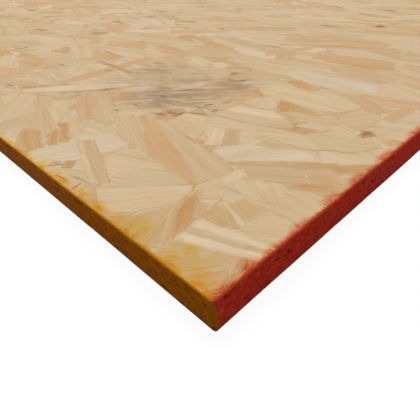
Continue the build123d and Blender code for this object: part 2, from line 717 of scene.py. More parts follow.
def edge_bar(name, along_x, side, paint, seed):
    """One sawn edge as a closed bar. side is the sign of the direction that it faces."""
    half_run = HALF_LENGTH if along_x else HALF_WIDTH - CORNER_RADIUS
    reach = HALF_WIDTH if along_x else HALF_LENGTH
    height = THICKNESS - 2 * BAR_DEPTH
    run, out = (0, 1) if along_x else (1, 0)
    size = [0, 0, height]
    size[run], size[out] = 2 * half_run, CORNER_RADIUS
    centre = [0, 0, THICKNESS / 2]
    centre[out] = side * (reach - CORNER_RADIUS / 2)
    bar = block(name, centre, size)

    def outer(a, b, depth):
        """Whether both ends of an edge are less than this deep below the outer side."""
        return min(side * a[out], side * b[out]) > reach - depth

    if along_x:
        pick_edges(bar, lambda a, b: outer(a, b, TINY) and abs(a.z - b.z) > MM)
        bpy.ops.mesh.bevel(offset=CORNER_RADIUS * 0.99, segments=CORNER_STEPS, profile=0.5, affect="EDGES")
    pick_edges(bar, lambda a, b: outer(a, b, CORNER_RADIUS - TINY) and a.z == b.z)
    bpy.ops.mesh.bevel(offset=ARRIS, segments=2, profile=0.5, affect="EDGES")

    segments = ALONG_CUTS_LONG if along_x else ALONG_CUTS_END
    for longest in (half_run, half_run / segments):
        pick_edges(bar, lambda a, b: outer(a, b, ARRIS + TINY) and abs(a[run] - b[run]) > longest)
        bpy.ops.mesh.subdivide(number_cuts=segments - 1)
    pick_edges(bar, lambda a, b: outer(a, b, CORNER_RADIUS + TINY) and abs(a.z - b.z) > height / 2)
    bpy.ops.mesh.subdivide(number_cuts=UP_CUTS)
    bpy.ops.object.mode_set(mode="OBJECT")
    press_relief(bar, run, out, side, reach, height, LONG_RUNS if along_x else END_RUNS, seed)
    bar.data.materials.append(paint)
    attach(bar, "root")
    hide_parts("osb_panel")
    say_triangles(bar)


def press_relief(bar, run, out, side, reach, height, runs, seed):
    """Presses each point of the outer side in by the depth of the sawn edge there, and keeps that depth."""
    mesh = bar.data
    co = positions(mesh)
    outward = side * co[:, out]
    arc = np.where(outward < reach - TINY, reach - outward, 0) * np.sign(co[:, run])
    from_middle = np.abs(co[:, 2] - THICKNESS / 2)
    on_side = (from_middle < height / 2 - ARRIS * 0.2) & (outward > reach - CORNER_RADIUS + 2 * TINY)
    press, hole = edge_depth(co[:, run] + arc + NOISE_SHIFT, co[:, 2], *runs, seed)
    press *= np.clip((height / 2 - from_middle) / (1.3 * MM), 0.35, 1) * on_side
    co -= read(mesh.vertices, "normal", 3) * press[:, None] * np.array([1, 1, 0])
    mesh.vertices.foreach_set("co", co.ravel())
    pit = mesh.attributes.new("pit", "FLOAT", "POINT")
    pit.data.foreach_set("value", (hole * on_side).astype(np.float32))
    mesh.update()
    only(bar)
    bpy.ops.object.shade_smooth_by_angle(angle=math.radians(50))


# %% [markdown]
# ## The edge paints
# Both paints are matt and soak in unevenly, and the voids between the strand ends are darkened nearly to
# black, as painted shade. The yellow has gone ochre and brown, with a few rusty spots. The red is deep, with
# paler dusty bumps. Both are mottled by noise drawn out along the layers. Round each corner a little of the
# other paint strays, with a lighter lip where the two meet, partly wear and partly painted highlight on the
# rounded corner.

# %% The two edge paints
LAYER_HEIGHT = 520
MOTTLE = (420, 420, 520)
RUST = (170, 170, 330)
GRIT = 1300
STRAY_REACH = 2.6 * MM
STRAY_SLANT = 0.07
STRAY_NOISE = 340
PAINT_LIP_WEAR_AND_HIGHLIGHT = (0.70, 0.20, 0.03, 1)
PIT_SHADE_COLOUR = (0.02, 0.008, 0.004, 1)


def edge_paint(name, deep, plain, bright, spots, stray, layer_scale, along_x, stray_from):
    """A mottled matt paint over sawn strand ends. A little of the other paint strays round the corner."""
    made, tree, shader = new_material(name, 0.75, 0.04)
    spot = object_place(tree)
    layered = noise(scaled(spot, layer_scale, layer_scale, LAYER_HEIGHT), detail=3, rough=0.6)
    mottle = noise(scaled(spot, *MOTTLE), detail=3, rough=0.65)
    grit = noise(spot, GRIT)
    colour = blend(stretch(layered, 0.36, 0.60), deep, plain)
    colour = blend(stretch(mottle, 0.52, 0.72) * 0.8, colour, bright)
    colour = blend(stretch(noise(scaled(spot, *RUST)), 0.66, 0.74), colour, spots)
    colour = tinted(colour, grey(stretch(grit, 0.3, 0.7) * 0.24 + 0.88))
    x, y, z = parts(spot)
    from_corner = HALF_LENGTH - abs(x) if along_x else HALF_WIDTH - abs(y)
    slant = STRAY_SLANT if along_x else -STRAY_SLANT
    torn = noise(spot, STRAY_NOISE) * STRAY_REACH + z * slant - from_corner
    # A lighter lip where the two paints meet, partly wear and partly painted highlight on the rounded corner.
    lip = stretch(torn, stray_from - 0.9 * MM, stray_from - 0.1 * MM)
    colour = blend(lip * 0.35, colour, PAINT_LIP_WEAR_AND_HIGHLIGHT)
    colour = blend(stretch(torn, stray_from, stray_from + 0.35 * MM), colour, stray)
    # Painted shade: the voids are darkened nearly to black.
    colour = blend(attribute(tree, "pit")["Fac"] * 0.75, colour, PIT_SHADE_COLOUR)
    finish_surface(shader, colour, layered * 0.7 + grit * 0.3, 0.16)
    return made


yellow_paint = edge_paint(
    "long_edge_paint", (0.37, 0.088, 0.0, 1), (0.53, 0.150, 0.0, 1), (0.66, 0.22, 0.0, 1),
    (0.56, 0.085, 0.004, 1), (0.66, 0.045, 0.018, 1), 210, True, 1.9 * MM,
)
red_paint = edge_paint(
    "end_edge_paint", (0.62, 0.028, 0.010, 1), (0.78, 0.048, 0.020, 1), (0.82, 0.13, 0.085, 1),
    (0.42, 0.016, 0.014, 1), (0.50, 0.13, 0.004, 1), 260, False, -0.9 * MM,
)

# %% Make the four sawn edges
edge_bar("long_edge_front", True, -1, yellow_paint, 31)
edge_bar("long_edge_back", True, 1, yellow_paint, 37)
edge_bar("end_edge_right", False, 1, red_paint, 41)
edge_bar("end_edge_left", False, -1, red_paint, 43)

# %% [markdown]
# ## A few strands, modelled once
# A real strand is a thin slice 6 to 12 cm long and 1 to 3 cm wide, a little crooked, with torn or slanted
# ends that are pressed down into the face. Seven of them are made here: a plane cut across four times, its
# ends slanted or narrowed, its points moved a little at random, then extruded downwards for its thickness.
# The sides are sloped outwards later, when each copy has its real size, because pressing thins a strand's
# edge.

# %% Model the strand shapes
STRAND_THICKNESS = 0.30 * MM
SIDE_SLOPE = 0.9 * MM
END_FROM = 0.22
END_SINK = 0.35


def strand_shape(number, slant_low, slant_high, taper_low, taper_high, bow):
    """One strand of unit length and width, with its thickness below z = 0. Returns its points, its triangles
    and each point's place on the straight strand, along and across, from -0.5 to 0.5."""
    bpy.ops.object.select_all(action="DESELECT")
    bpy.ops.mesh.primitive_plane_add(size=1)
    made = bpy.context.object
    mesh = made.data
    pick_edges(made, lambda a, b: abs(a.x - b.x) > 0.5)
    bpy.ops.mesh.subdivide(number_cuts=4)
    bpy.ops.object.mode_set(mode="OBJECT")
    straight = mesh.attributes.new("straight", "FLOAT2", "POINT")
    straight.data.foreach_set("vector", positions(mesh)[:, :2].astype(np.float32).ravel())
    edit_all(made)
    bpy.ops.transform.vertex_random(offset=0.05, seed=number + 3)
    bpy.ops.object.mode_set(mode="OBJECT")
    for point in mesh.vertices:
        x, y = point.co.x, point.co.y
        end = max(0.0, abs(x) - END_FROM) / (0.5 - END_FROM)
        taper, slant = (taper_low, slant_low) if x < 0 else (taper_high, slant_high)
        y *= 1 - end * (1 - taper)
        x += slant * end * y
        y += bow * (0.25 - x * x)
        point.co = (x, y, -END_SINK * end)
    thicken(made, 1)
    corners = read(mesh.loops, "vertex_index", 1, int)
    places = read(mesh.attributes["straight"].data, "vector", 2, np.float32)
    shape = positions(mesh), corners.reshape(-1, 3), places
    bpy.data.objects.remove(made)
    return shape


STRAND_SHAPES = [
    strand_shape(0, 0.02, -0.03, 0.95, 0.80, 0.10),
    strand_shape(1, -0.08, 0.06, 0.70, 0.95, -0.15),
    strand_shape(2, 0.05, 0.10, 0.35, 0.85, 0.05),
    strand_shape(3, 0.00, -0.06, 0.90, 0.15, 0.20),
    strand_shape(4, 0.10, 0.10, 0.98, 0.98, 0.00),
    strand_shape(5, -0.05, 0.02, 0.60, 0.55, -0.30),
    strand_shape(6, 0.03, -0.10, 0.25, 0.35, 0.12),
]
print("strand shapes", len(STRAND_SHAPES), "triangles each", len(STRAND_SHAPES[0][1]))

# %% [markdown]
# ## Tones
# Most strands are cream, straw, sand or pale. A few of the random ones carry honey or orange heartwood, and
# rust, brown and the darkest tones are only among the outlined ones. The tones are linear colours. They were
# adjusted until patches of the picture made here came close to the same patches in the photograph.

# %% Wood tones
TONES = {
    "sapwood": (0.730, 0.600, 0.430),
    "bright": (0.695, 0.555, 0.370),
    "pale": (0.655, 0.528, 0.368),
    "cream": (0.645, 0.492, 0.305),
    "straw": (0.610, 0.452, 0.268),
    "sand": (0.572, 0.396, 0.220),
    "tan": (0.568, 0.356, 0.168),
    "ochre": (0.566, 0.384, 0.182),
    "peach": (0.602, 0.375, 0.195),
    "honey": (0.535, 0.310, 0.122),
    "orange": (0.556, 0.318, 0.138),
    "rust": (0.532, 0.288, 0.115),
    "brown": (0.490, 0.250, 0.100),
    "knot": (0.350, 0.182, 0.060),
    # The last two tones are painted shade, for the thin gaps between strands.
    "seam": (0.470, 0.310, 0.165),
    "crack": (0.300, 0.170, 0.080),
}
COMMON_TONES = ["bright", "pale", "cream", "straw", "sand", "tan", "peach", "honey", "orange"]
TONE_SHARES = [0.06, 0.12, 0.26, 0.25, 0.14, 0.06, 0.07, 0.025, 0.015]
BOARD_TONE = np.array((0.602, 0.446, 0.270))
TONE_SPREAD = 0.68


def mesh_object(name, points, faces, material):
    """A mesh object straight from arrays of points and triangles."""
    mesh = bpy.data.meshes.new(name)
    mesh.vertices.add(len(points))
    mesh.vertices.foreach_set("co", np.ascontiguousarray(points, dtype=np.float32).ravel())
    mesh.loops.add(3 * len(faces))
    mesh.loops.foreach_set("vertex_index", np.ascontiguousarray(faces, dtype=np.int32).ravel())
    mesh.polygons.add(len(faces))
    mesh.polygons.foreach_set("loop_start", np.arange(0, 3 * len(faces), 3, dtype=np.int32))
    mesh.update(calc_edges=True)
    mesh.shade_flat()
    mesh.materials.append(material)
    return add_to_scene(name, mesh)


def add_map(mesh, name, flat):
    """A UV map that gives every corner the place of its point."""
    corners = read(mesh.loops, "vertex_index", 1, np.int32)
    layer = mesh.uv_layers.new(name=name, do_init=False)
    layer.data.foreach_set("uv", flat[corners].astype(np.float32).ravel())


def give_looks(mesh, tone, traits, strand, grain):
    """Stores each point's tone, traits and place on its strand, and each corner's place along the grain."""
    opaque = np.ones((len(tone), 1))
    looks = {"tone": np.hstack([tone, opaque]), "traits": np.hstack([traits, opaque]), "strand": strand}
    for label, rows in looks.items():
        layer = mesh.attributes.new(label, "FLOAT_COLOR", "POINT")
        layer.data.foreach_set("color", rows.astype(np.float32).ravel())
    add_map(mesh, "grain", grain)


# %% [markdown]
# ## Scattering the strands
# Strands fall on the forming belt one after another and mostly lie along the sheet. A jittered grid of
# centres keeps the cover even, and each strand gets its own angle, size, shape, tone and height. The
# heights fill a thin band below the face, so the strands overlap like leaves. All the strands of one part
# of the face are copied into one mesh, straight from arrays, because an object for each would be thousands
# of objects.

# %% Scatter strands over a face
LEVEL_BAND = 0.14 * MM
HEIGHT_WAVE = 0.05 * MM
WAVE_CELL = (34 * MM, 13 * MM)
BIG_STRANDS = {
    "pitch": (62 * MM, 9 * MM), "lengths": (60 * MM, 130 * MM), "widths": (9 * MM, 42 * MM),
    "turn_spread": math.radians(21), "any_way": 0.10,
}
SMALL_STRANDS = {
    "pitch": (70 * MM, 22 * MM), "lengths": (18 * MM, 55 * MM), "widths": (3 * MM, 12 * MM),
    "turn_spread": math.radians(30), "any_way": 0.2,
}
ROW_JITTER = 0.9
WIDTH_SKEW = (1.4, 2.6)
LATE_SPREAD = 0.28
SHADE_SPREAD = (0.02, 0.025, 0.045)
FIGURE_SHIFT = 9
LAID_AREA = (265 * MM, 260 * MM)
BELOW_LAID = 1.6


def scatter(seed, pitch, lengths, widths, turn_spread, any_way):
    """Random strands over the whole face: place, direction, size, shape, tone, and a height from 0 to 1."""
    rng = np.random.default_rng(seed)
    columns = int(2 * HALF_LENGTH / pitch[0]) + 2
    rows = int(2 * HALF_WIDTH / pitch[1]) + 2
    i, j = [grid.ravel() for grid in np.meshgrid(np.arange(columns), np.arange(rows), indexing="ij")]
    count = i.size
    x = (i - columns / 2 + rng.random(count)) * pitch[0] + (j % 2) * pitch[0] / 2
    y = (j - rows / 2 + 0.5 + rng.normal(0, ROW_JITTER, count)) * pitch[1]
    turn = rng.normal(0, turn_spread, count)
    stray = rng.random(count) < any_way
    turn[stray] = rng.uniform(-math.pi / 2, math.pi / 2, stray.sum())
    length = rng.uniform(*lengths, count)
    width = widths[0] + (widths[1] - widths[0]) * rng.beta(*WIDTH_SKEW, count)
    return {
        "x": x, "y": y, "turn": turn, "length": length, "width": width,
        "height": rng.random(count), "shape": rng.integers(0, len(STRAND_SHAPES), count),
        "tone": rng.choice(len(COMMON_TONES), count, p=TONE_SHARES),
        "late": np.clip(rng.normal(0.0, LATE_SPREAD, count), 0, 1),
        "offset": rng.uniform(-FIGURE_SHIFT, FIGURE_SHIFT, (count, 2)),
        "shade": 1 + rng.normal(0, 1, (count, 1)) * SHADE_SPREAD,
        "crisp": rng.random(count) ** 2,
    }


def keep_below(s):
    """Lowers the random strands that reach the photographed corner, where the outlined ones lie on top."""
    half = s["length"] / 2
    reach_x = s["x"] + half * np.abs(np.cos(s["turn"])) + s["width"] / 2 > HALF_LENGTH - LAID_AREA[1]
    reach_y = s["y"] - half * np.abs(np.sin(s["turn"])) - s["width"] / 2 < -HALF_WIDTH + LAID_AREA[0]
    s["height"] = np.where(reach_x & reach_y, s["height"] - BELOW_LAID, s["height"])


def build_strands(s, pick, top):
    """Copies the strand shapes to their places: points, triangles, tones, traits, strands and grain."""
    rows = []
    base = 0
    palette = np.array([TONES[name] for name in COMMON_TONES])
    palette = BOARD_TONE + (palette - BOARD_TONE) * TONE_SPREAD
    for k in pick:
        shape, triangles, straight = STRAND_SHAPES[s["shape"][k]]
        count = len(shape)
        low = shape[:, 2] < -0.5
        flat = shape[:, :2] * (s["length"][k], s["width"][k])
        flat += np.sign(straight) * (np.abs(straight) > 0.49) * low[:, None] * SIDE_SLOPE
        c, w = math.cos(s["turn"][k]), math.sin(s["turn"][k])
        x = s["x"][k] + c * flat[:, 0] - w * flat[:, 1]
        y = s["y"][k] + w * flat[:, 0] + c * flat[:, 1]
        z = top - LEVEL_BAND * (1 - s["height"][k]) + shape[:, 2] * STRAND_THICKNESS
        rows.append((
            np.column_stack([x, y, z]),
            triangles + base,
            np.tile(palette[s["tone"][k]] * s["shade"][k], (count, 1)),
            np.column_stack([np.full(count, s["late"][k]), low, np.full(count, s["crisp"][k])]),
            np.hstack([straight, np.tile((s["length"][k], s["width"][k]), (count, 1))]),
            flat + s["offset"][k],
        ))
        base += count
    return [np.concatenate(column) for column in zip(*rows)]


def face_wave(points):
    """The slow rise and fall of the pressed face."""
    wave = smooth_noise(points[:, 0] + 5, points[:, 1] + 5, *WAVE_CELL, 5)
    return (wave - 1.0) * HEIGHT_WAVE


# %% [markdown]
# ## Strands read from the photograph
# Near the photographed corner the strands can be told apart, so these are outlined one by one, the lowest
# first. Each row has its tone, the direction of its grain in degrees, and the outline that shows. Its
# points are in millimetres: the distance in from the front long edge, then the distance from the right-hand
# end. They were picked in the photograph and turned into millimetres through the fitted camera. The soft
# touches are strands so thin or so sunk in resin that only a faded patch of their tone shows, and they come
# last. A crevice is a very thin flake in a dark tone along a gap between strands, painted shade of that gap,
# and has half its width in place of the direction.

# %% The outlined strands and crevices
OUTLINED = [
    ("straw", 68, [(4, 172), (14, 200), (30, 230), (44, 262), (60, 262), (50, 225), (34, 196), (22, 176)]),
    ("tan", 72, [(0, 168), (14, 170), (24, 196), (18, 212), (8, 200), (0, 184)]),
    ("cream", 66, [(36, 196), (44, 205), (52, 212), (64, 240), (54, 250), (42, 222)]),
    ("straw", 70, [(58, 164), (74, 172), (90, 212), (97, 238), (84, 240), (70, 205), (60, 186)]),
    ("peach", 68, [(50, 188), (60, 186), (70, 204), (82, 236), (76, 240), (62, 216)]),
    ("pale", -24, [(0, 172), (20, 168), (41, 166), (53, 152), (53, 128), (42, 128), (18, 136), (0, 146)]),
    ("cream", -70, [(20, 101), (24, 112), (30, 124), (44, 128), (52, 118), (50, 84), (47, 84), (36, 100)]),
    ("cream", -62, [(11, 100), (20, 102), (34, 104), (46, 86), (49, 70), (46, 65), (40, 70), (26, 84)]),
    ("tan", -50, [(0, 100), (11, 101), (26, 84), (14, 66), (0, 64)]),
    ("cream", -42, [(4, 84), (11, 100), (26, 84), (40, 70), (46, 62), (40, 57.5), (30, 57), (14, 66),
                 (6, 74)]),
    ("straw", 66, [(51, 112), (58, 124), (70, 140), (82, 166), (70, 168), (58, 152), (53, 135)]),
    ("peach", 66, [(49, 60), (56, 74), (64, 90), (72, 108), (80, 130), (90, 160), (81, 160), (70, 136),
                 (58, 122), (52, 112), (50, 100), (48, 84), (48, 70)]),
    ("straw", 72, [(50, 60), (62, 57.5), (72, 57), (75, 66), (76, 80), (80, 98), (84, 120), (94, 152),
                 (90, 160), (80, 130), (72, 108), (64, 90), (56, 74)]),
    ("ochre", -55, [(0, 34), (12, 37), (20, 18), (12, 20), (0, 26)]),
    ("ochre", -40, [(0, 29), (12, 22.5), (20, 18), (25, 8), (14, 9), (0, 20)]),
    ("peach", -35, [(0, 20), (14, 10), (25, 8), (30, 0), (0, 0)]),
    ("orange", 15, [(5, 2), (12, 7), (19, 9.5), (24, 9), (26, 5), (22, 0), (12, 0)]),
    ("ochre", 22, [(0, 64), (12, 64), (24, 59), (30, 57), (45, 56.5), (47, 55), (40, 50), (38, 49),
                 (24, 39), (13, 37.5), (3, 38.5), (0, 39.5)]),
    ("tan", 40, [(9, 38), (24, 39), (38, 49), (44, 55.5), (27, 55.5), (18, 49), (9, 41)]),
    ("bright", 20, [(1, 36), (6, 37.5), (8, 39), (4, 39.5), (0.5, 38.5)]),
    ("orange", 24, [(0, 31), (13, 36.5), (12, 37.8), (0, 34.5)]),
    ("straw", -5, [(44, 58), (50, 60), (62, 57.5), (72, 57), (66, 53.5), (58, 50.5), (50, 50)]),
    ("pale", -40, [(75, 66), (78, 80), (88, 80), (104, 72), (111, 60), (112, 36), (107, 20), (94, 41),
                 (82, 56)]),
    ("peach", -58, [(92, 24), (102, 14), (112, 2), (112, 0), (86, 0), (84, 6)]),
    ("sand", -56, [(74, 64), (80, 58), (94, 40), (107, 20), (102, 14), (92, 24), (82, 42), (75, 56)]),
    ("sand", -58, [(66, 50), (74, 56), (84, 44), (92, 30), (86, 14), (78, 22), (72, 38)]),
    ("bright", -12, [(55, 49), (62, 54.5), (66, 55.5), (73, 55.5), (75, 52), (70, 44), (60, 44)]),
    ("cream", 60, [(57, 48), (68, 47), (72, 38), (76, 28), (72, 20), (60, 20), (57, 30)]),
    ("straw", 70, [(58, 28), (64, 33), (69, 30), (66, 22), (60, 21)]),
    ("peach", -60, [(78, 26), (83, 25), (90, 12), (85, 3), (77, 8), (77, 20)]),
    ("cream", 85, [(55, 19.5), (68, 22), (77, 21), (80, 8), (78, 0), (53, 0), (56, 9)]),
    ("straw", -60, [(37, 20), (55, 19.5), (56, 10), (51, 0), (36, 0), (34, 12)]),
    ("cream", 85, [(47, 54), (52, 51), (56, 44), (57, 30), (56, 19), (50, 21), (47, 38)]),
    ("ochre", 65, [(45, 38), (54, 34), (55, 19.5), (40, 20), (38, 21)]),
    ("bright", 68, [(44.5, 39), (46.5, 38), (40.5, 20.3), (37.5, 20.5)]),
    ("ochre", 40, [(28, 40), (38, 49), (40, 46), (39, 41)]),
    ("cream", -50, [(39, 41), (40, 47), (46, 54.5), (52, 48), (54, 43.5), (47, 41.5)]),
    ("ochre", 55, [(29, 40.5), (40, 41.5), (45, 38), (37.5, 20.5), (33, 25), (31, 33)]),
    ("bright", -70, [(12.5, 37), (27, 39.5), (31, 37), (34, 20), (38, 0), (27, 0), (20, 17)]),
    ("straw", -70, [(19, 36.5), (24, 37.5), (31, 12), (35, 0), (32, 0), (26, 14)]),
    ("tan", 80, [(77, 80), (80, 84), (87, 84), (84, 100), (90, 108), (82, 112), (79, 98)]),
    ("cream", -70, [(94, 74.5), (99, 69), (112, 72), (122, 64), (121, 80), (113, 86)]),
    ("straw", 28, [(86, 84), (94, 75.5), (113, 86), (108, 96), (100, 92)]),
    ("pale", 48, [(86, 84), (91, 84), (98, 92), (106, 100), (102, 108), (95, 106), (88, 94)]),
    ("cream", -72, [(110, 74), (118, 80), (126, 62), (130, 44), (120, 30), (112, 44), (113, 60)]),
    ("peach", -75, [(100, 66), (107, 66), (110, 60), (112, 48), (108, 48), (104, 58)]),
    ("straw", -64, [(128, 50), (134, 46), (142, 26), (150, 20), (142, 8), (126, 18), (120, 32)]),
    ("honey", -56, [(104, 20), (112, 14), (124, 0), (110, 0), (100, 8)]),
    ("straw", -50, [(96, 12), (104, 10), (111, 2), (108, 0), (94, 0)]),
    ("cream", 90, [(167, 96), (170, 130), (182, 165), (196, 150), (197, 100), (196, 62), (188, 44),
                 (172, 50), (166, 62)]),
    ("straw", -30, [(158, 40), (170, 48), (186, 42), (182, 28), (166, 24), (152, 30)]),
    ("pale", 88, [(206, 62), (214, 46), (238, 56), (243, 90), (240, 128), (216, 132), (208, 98)]),
    ("sand", 85, [(194, 86), (207, 90), (212, 118), (208, 140), (198, 138), (195, 110)]),
    ("peach", 62, [(182, 40), (190, 28), (202, 42), (207, 62), (204, 76), (197, 62), (190, 48)]),
    ("sand", 80, [(240, 54), (254, 50), (264, 90), (260, 118), (246, 104)]),
    ("straw", -78, [(118, 118), (130, 118), (134, 92), (139, 72), (130, 62), (124, 78), (120, 96)]),
    ("cream", 60, [(146, 118), (166, 112), (168, 98), (150, 90), (145, 100)]),
    ("honey", 35, [(148, 86), (167, 98), (167, 84), (160, 78), (150, 78)]),
    ("tan", 80, [(157, 78), (166, 82), (166, 64), (160, 58), (158, 62)]),
    ("straw", -80, [(147, 84), (156, 74), (158, 55), (157, 42), (150, 46), (148, 64)]),
    ("honey", -20, [(126, 72), (138, 68), (146, 60), (138, 50), (131, 50)]),
    ("cream", -60, [(136, 62), (141, 63), (147, 55), (145, 42), (138, 44)]),
    ("sapwood", -78, [(127, 120), (140, 118), (143, 104), (147, 86), (144, 75), (139, 74), (134, 90)]),
    ("cream", -75, [(83, 100), (98, 104), (112, 122), (109, 136), (88, 135), (84, 120)]),
    ("tan", 20, [(88, 137), (108, 137), (112, 146), (100, 154), (88, 150)]),
    ("cream", -35, [(112, 158), (122, 152), (140, 140), (150, 132), (140, 128), (124, 140), (115, 150)]),
    ("straw", -35, [(122, 134), (140, 130), (146, 120), (130, 118), (124, 124)]),
    ("pale", -33, [(118, 190), (128, 188), (146, 180), (162, 170), (150, 167), (132, 178), (120, 186)]),
    ("bright", 60, [(194, 205), (204, 212), (214, 202), (212, 188), (200, 190)]),
    ("cream", 68, [(12, 108), (14, 102), (23, 128), (35, 159), (34, 165), (23, 136)]),
    ("sand", 68, [(14, 102), (20, 99), (29, 124), (41, 153), (35, 159), (23, 128)]),
    ("tan", 68, [(17.5, 100), (20, 99), (29.5, 124), (41, 153), (38, 155.5), (26.5, 126)]),
    ("knot", 40, [(145, 21), (148, 25), (155, 26), (158, 22), (154, 18), (150, 19.5)]),
    ("sand", 40, [(103, 95), (111, 87), (94, 73), (87.5, 81)]),
    ("bright", 40, [(101, 102), (104, 94), (87.5, 81.5), (81, 90)]),
]
SOFT_TOUCHES = [
    ("rust", 42, [(12, 37.6), (21, 38.6), (28, 42), (34, 46), (40, 50.5), (43, 55.3), (35, 55.3), (26, 51),
                 (18, 44)]),
    ("orange", 80, [(30.5, 40.5), (35, 41), (38, 39), (36.5, 33), (34.5, 27), (32, 26), (31.5, 32)]),
    ("rust", 62, [(31.5, 28), (33.5, 32), (35.5, 31), (33.5, 26)]),
    ("rust", 40, [(31.5, 36), (33.5, 39), (35.5, 37), (33.5, 34)]),
    ("rust", 12, [(13, 4.5), (18, 9), (23, 9), (23, 4)]),
    ("rust", 50, [(9.5, 136), (15, 141), (18.5, 136), (13, 130.5)]),
    ("rust", 20, [(4, 144), (10, 146), (13, 142.5), (8, 140.5)]),
    ("orange", 62, [(18, 170), (22, 165), (36, 190), (30, 190.5), (24, 186)]),
    ("brown", 64, [(24.5, 166), (28, 162.5), (43, 193), (39, 199)]),
    ("orange", -56, [(74, 63.5), (79, 56), (88, 43), (98, 29), (108, 14), (111, 17), (100, 34), (90, 47.5),
                 (80, 60)]),
    ("rust", -58, [(77, 24), (82, 22), (91, 9), (87, 5), (78, 17)]),
    ("sand", -66, [(101, 67.5), (108, 62.5), (114.5, 47), (110.5, 44), (103, 56)]),
    ("sand", -65, [(123.5, 88), (129.5, 80), (137.5, 64), (132.5, 62), (125, 75)]),
    ("brown", -73, [(133, 58), (136, 48), (139, 48.5), (136.5, 58.5)]),
    ("orange", -72, [(203, 120), (211, 110), (201, 91), (192, 89), (196, 106)]),
    ("rust", -58, [(169, 129), (176, 127), (166, 110), (160, 112)]),
    ("bright", -47, [(52, 300), (78, 279), (94, 264), (110, 243), (126, 221), (124, 218), (102, 232),
                 (84, 248), (71, 263), (49, 290)]),
    ("brown", -50, [(54, 305), (61, 294), (65, 296), (58, 308)]),
    ("rust", -48, [(65, 295), (72, 284), (76, 287), (69, 298)]),
    ("peach", 66, [(76, 236), (83, 233), (86, 224), (61, 183), (54, 192)]),
    ("brown", -92, [(141, 322), (146, 320), (146, 294), (143, 255), (138, 256), (141, 294)]),
    ("knot", 60, [(411, 140), (415, 151), (428, 148), (424, 138)]),
]
# Thin dark flakes along gaps between strands: painted shade of the gaps.
CREVICES = [
    ("seam", 0.15, [(50, 60.2), (54, 59.5), (58, 58.2)]),
    ("crack", 0.14, [(57.5, 58.2), (62, 56.8), (66, 55.8)]),
    ("seam", 0.12, [(66, 56.2), (70, 56.6), (72.5, 57.2)]),
    ("seam", 0.17, [(13, 37.3), (19, 37.4), (25, 39), (29, 40.6)]),
    ("seam", 0.16, [(36, 48.6), (38.6, 48)]),
    ("seam", 0.20, [(38.8, 44.5), (39.3, 48)]),
    ("seam", 0.14, [(39, 40.6), (46, 41.6), (53, 43.2)]),
    ("seam", 0.14, [(55, 9), (55.4, 16)]),
    ("crack", 0.17, [(72, 39.8), (75, 33.5), (77.5, 27.4)]),
    ("seam", 0.12, [(66.8, 47.6), (69.5, 43.5), (72, 39.8)]),
    ("crack", 0.22, [(3, 39.2), (5.5, 38.2)]),
    ("crack", 0.40, [(0.8, 51.7), (3.4, 52.7)]),
    ("seam", 0.12, [(0.5, 16), (4, 15.5), (7, 13.2)]),
    ("crack", 0.14, [(29.5, 124), (35, 138), (40.5, 152.5)]),
    ("crack", 0.20, [(19.3, 99), (20.3, 101)]),
    ("seam", 0.20, [(104, 19), (107.5, 16.6)]),
    ("seam", 0.20, [(45.5, 109), (48, 104), (46.3, 97.5)]),
    ("seam", 0.20, [(8, 124.6), (10.2, 115.6), (11.4, 104.7)]),
    ("seam", 0.25, [(5, 144), (10.5, 139.3), (17.8, 136)]),
    ("seam", 0.25, [(0.3, 107.8), (5, 109.4), (10, 111)]),
    ("seam", 0.25, [(2.8, 131), (4.3, 124.3), (5, 117)]),
    ("seam", 0.40, [(55.8, 278), (51.4, 264), (45.2, 250)]),
    ("crack", 0.20, [(182.6, 28), (183.4, 32)]),
    ("crack", 0.20, [(182.4, 36), (185, 37.6)]),
    ("seam", 0.15, [(74.6, 63.5), (78.4, 58), (83, 51.5)]),
]

# %% Make flakes from outlines
POINT_SPACING = 3.5
KEPT_GAP = 3.0
OUTLINE_STEP = 4.0
OUTLINE_WOBBLE = 0.28
LAID_BAND = (0.03 * MM, 0.14 * MM)
LAID_CRISP = 0.6
SOFT_CRISP = 0.3
CREVICE_RISE = 0.012 * MM
CREVICE_THICKNESS = 0.04 * MM
HEARTWOODS = ("honey", "orange", "rust", "brown")
HEARTWOOD_LATE = 0.35
OTHER_LATE = 0.25
LEAST_LEAN = 0.2


def ragged_outline(outline, rng):
    """The outline's points with more between them, each moved a little, so that no side is ruler-straight."""
    points = []
    for a, b in zip(outline, outline[1:] + outline[:1]):
        a, b = np.array(a, float), np.array(b, float)
        pieces = max(1, round(np.linalg.norm(b - a) / OUTLINE_STEP))
        across = np.array([a[1] - b[1], b[0] - a[0]]) / (np.linalg.norm(b - a) + 1e-9)
        for k in range(pieces):
            wander = rng.normal(0, OUTLINE_WOBBLE if k else OUTLINE_WOBBLE / 2)
            points.append(a + (b - a) * k / pieces + across * wander)
    return np.array(points)


def inside(outline, points):
    """Which of the points lie inside the outline: those with an odd number of its sides to their right."""
    a, b = outline, np.roll(outline, -1, axis=0)
    x, y = points[:, :1], points[:, 1:]
    passed = (a[:, 1] > y) != (b[:, 1] > y)
    rise = np.where(a[:, 1] == b[:, 1], 1.0, b[:, 1] - a[:, 1])
    crossing = a[:, 0] + (y - a[:, 1]) * (b[:, 0] - a[:, 0]) / rise
    return ((x < crossing) & passed).sum(1) % 2 == 1


def outline_gap(outline, points):
    """How far each of the points is from the nearest side of the outline."""
    run = np.roll(outline, -1, axis=0) - outline
    off = points[:, None] - outline
    share = np.clip((off * run).sum(2) / ((run * run).sum(1) + 1e-9), 0, 1)
    return np.linalg.norm(off - share[:, :, None] * run, axis=2).min(1)


